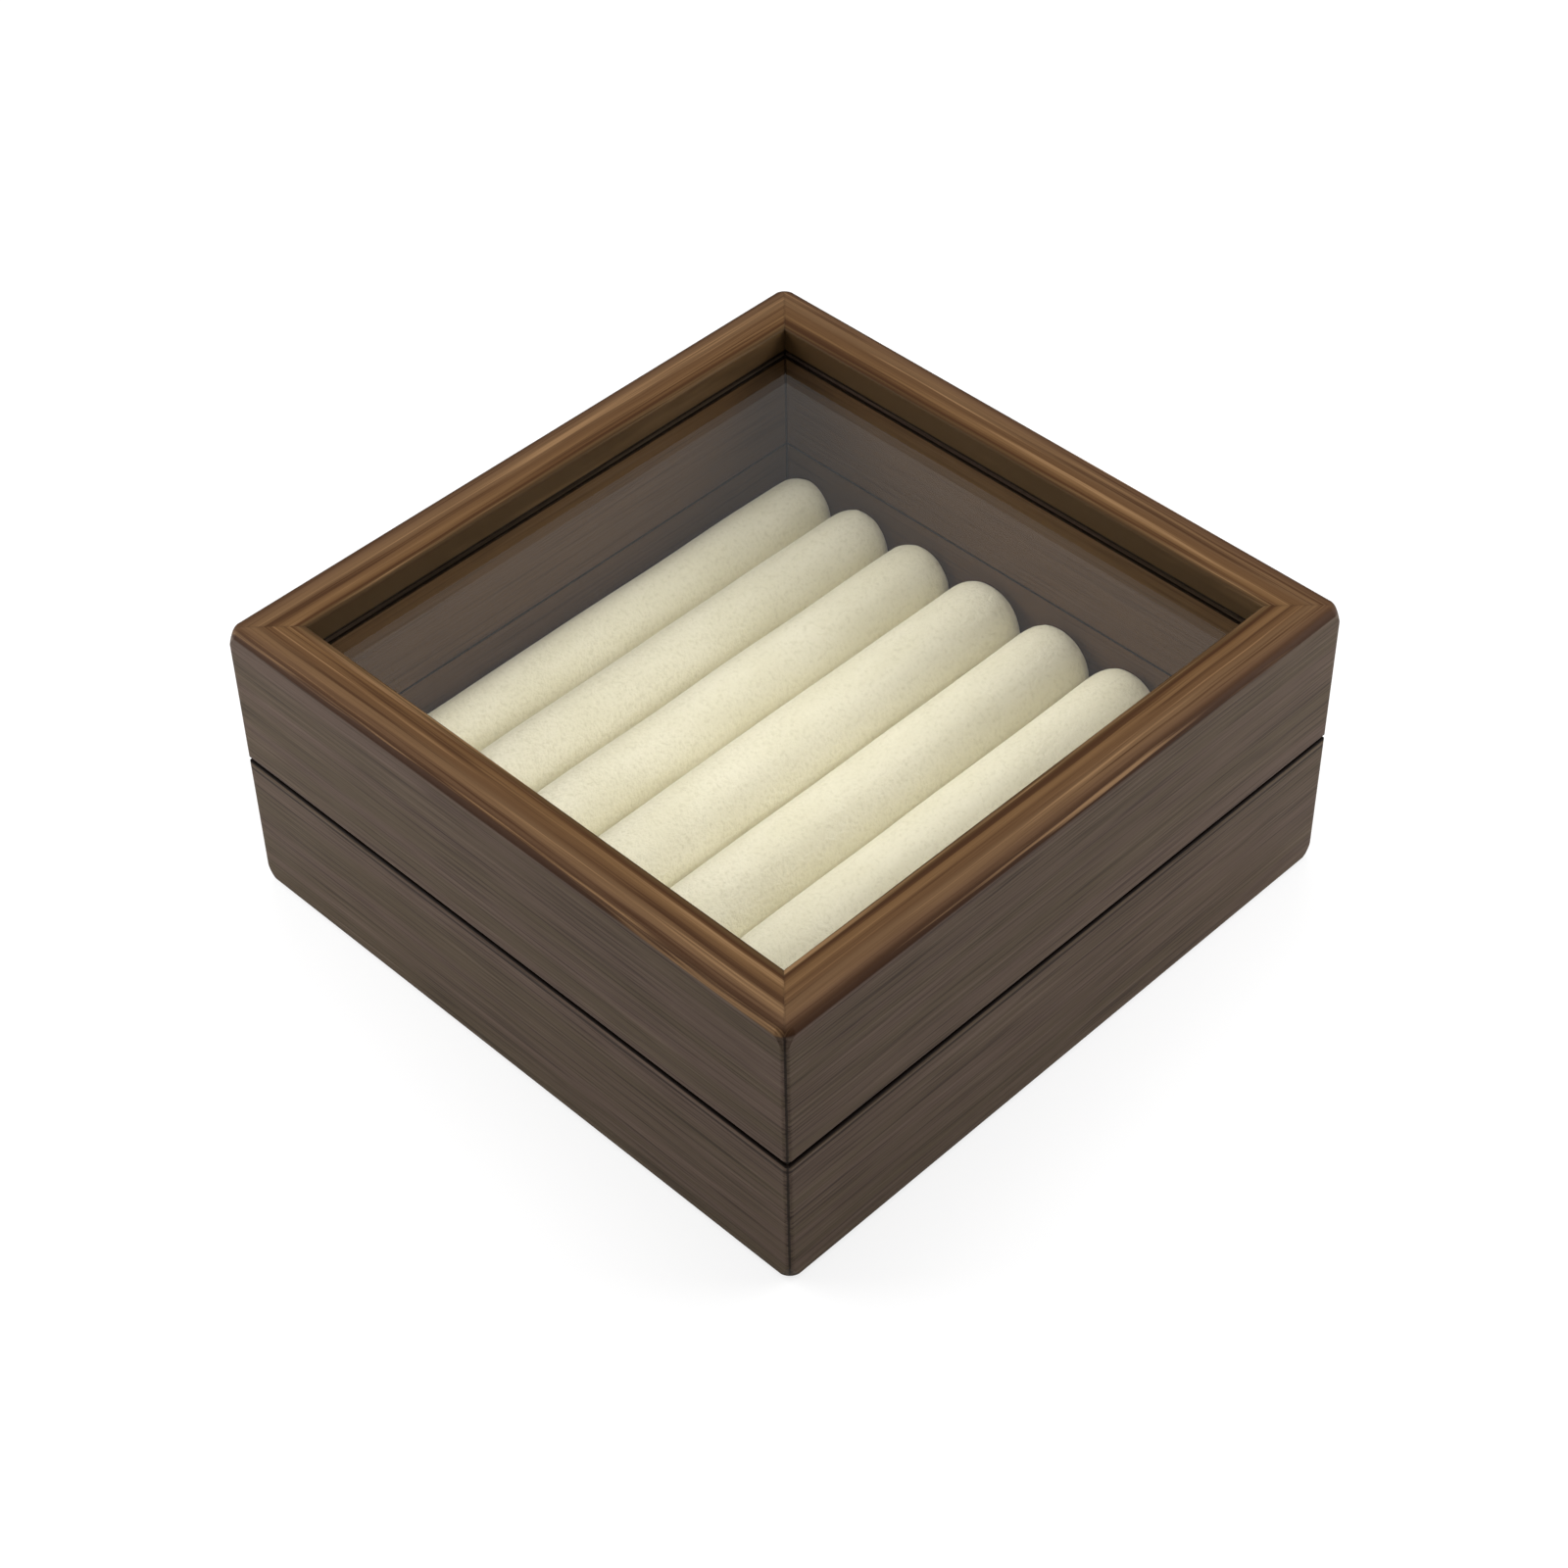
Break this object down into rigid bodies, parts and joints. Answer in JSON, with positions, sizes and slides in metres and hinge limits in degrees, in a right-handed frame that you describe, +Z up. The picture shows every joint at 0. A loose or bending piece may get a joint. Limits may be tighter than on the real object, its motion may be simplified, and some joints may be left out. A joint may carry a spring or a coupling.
{
  "type": "ring display box",
  "caption": "Square wooden box with a hinged glazed lid over rows of soft padded rolls that hold finger rings upright for display.",
  "frame": {"origin": "middle of the box on the surface it stands on", "axes": "+Z up; +Y towards the hinged back, so the lid opens from the -Y front; +X to the right seen from the front"},
  "size_m": [0.15, 0.1498, 0.0675],
  "materials": {
    "base_wood": "satin greyish brown walnut, straight grain along each wall",
    "lid_wood": "satin walnut, warmer brown on the top rim",
    "panel_wood": "plain plywood panel",
    "glass": "clear flat glass",
    "velvet": "cream velvet, short pile",
    "felt": "black felt",
    "hinge_brass": "brushed brass"
  },
  "bodies": {
    "base": {"base_front": "base_wood", "base_back": "base_wood", "base_left": "base_wood", "base_right": "base_wood", "bottom_panel": "panel_wood", "underside_felt": "felt", "roll_board": "velvet", "ring_roll_1": "velvet", "ring_roll_2": "velvet", "ring_roll_3": "velvet", "ring_roll_4": "velvet", "ring_roll_5": "velvet", "ring_roll_6": "velvet", "ring_roll_7": "velvet", "left_hinge_base_leaf": "hinge_brass", "left_hinge_pin": "hinge_brass", "right_hinge_base_leaf": "hinge_brass", "right_hinge_pin": "hinge_brass", "base_hinge_screws": "hinge_brass"},
    "lid": {"lid_front": "lid_wood", "lid_back": "lid_wood", "lid_left": "lid_wood", "lid_right": "lid_wood", "glass_pane": "glass", "left_hinge_lid_leaf": "hinge_brass", "right_hinge_lid_leaf": "hinge_brass", "lid_hinge_screws": "hinge_brass"}
  },
  "joints": [
    {"name": "lid_hinge", "type": "hinge", "parent": "base", "child": "lid", "pos_m": [0, 0.0737, 0.0335], "axis": [-1, 0, 0], "range_deg": [0, 95]}
  ]
}
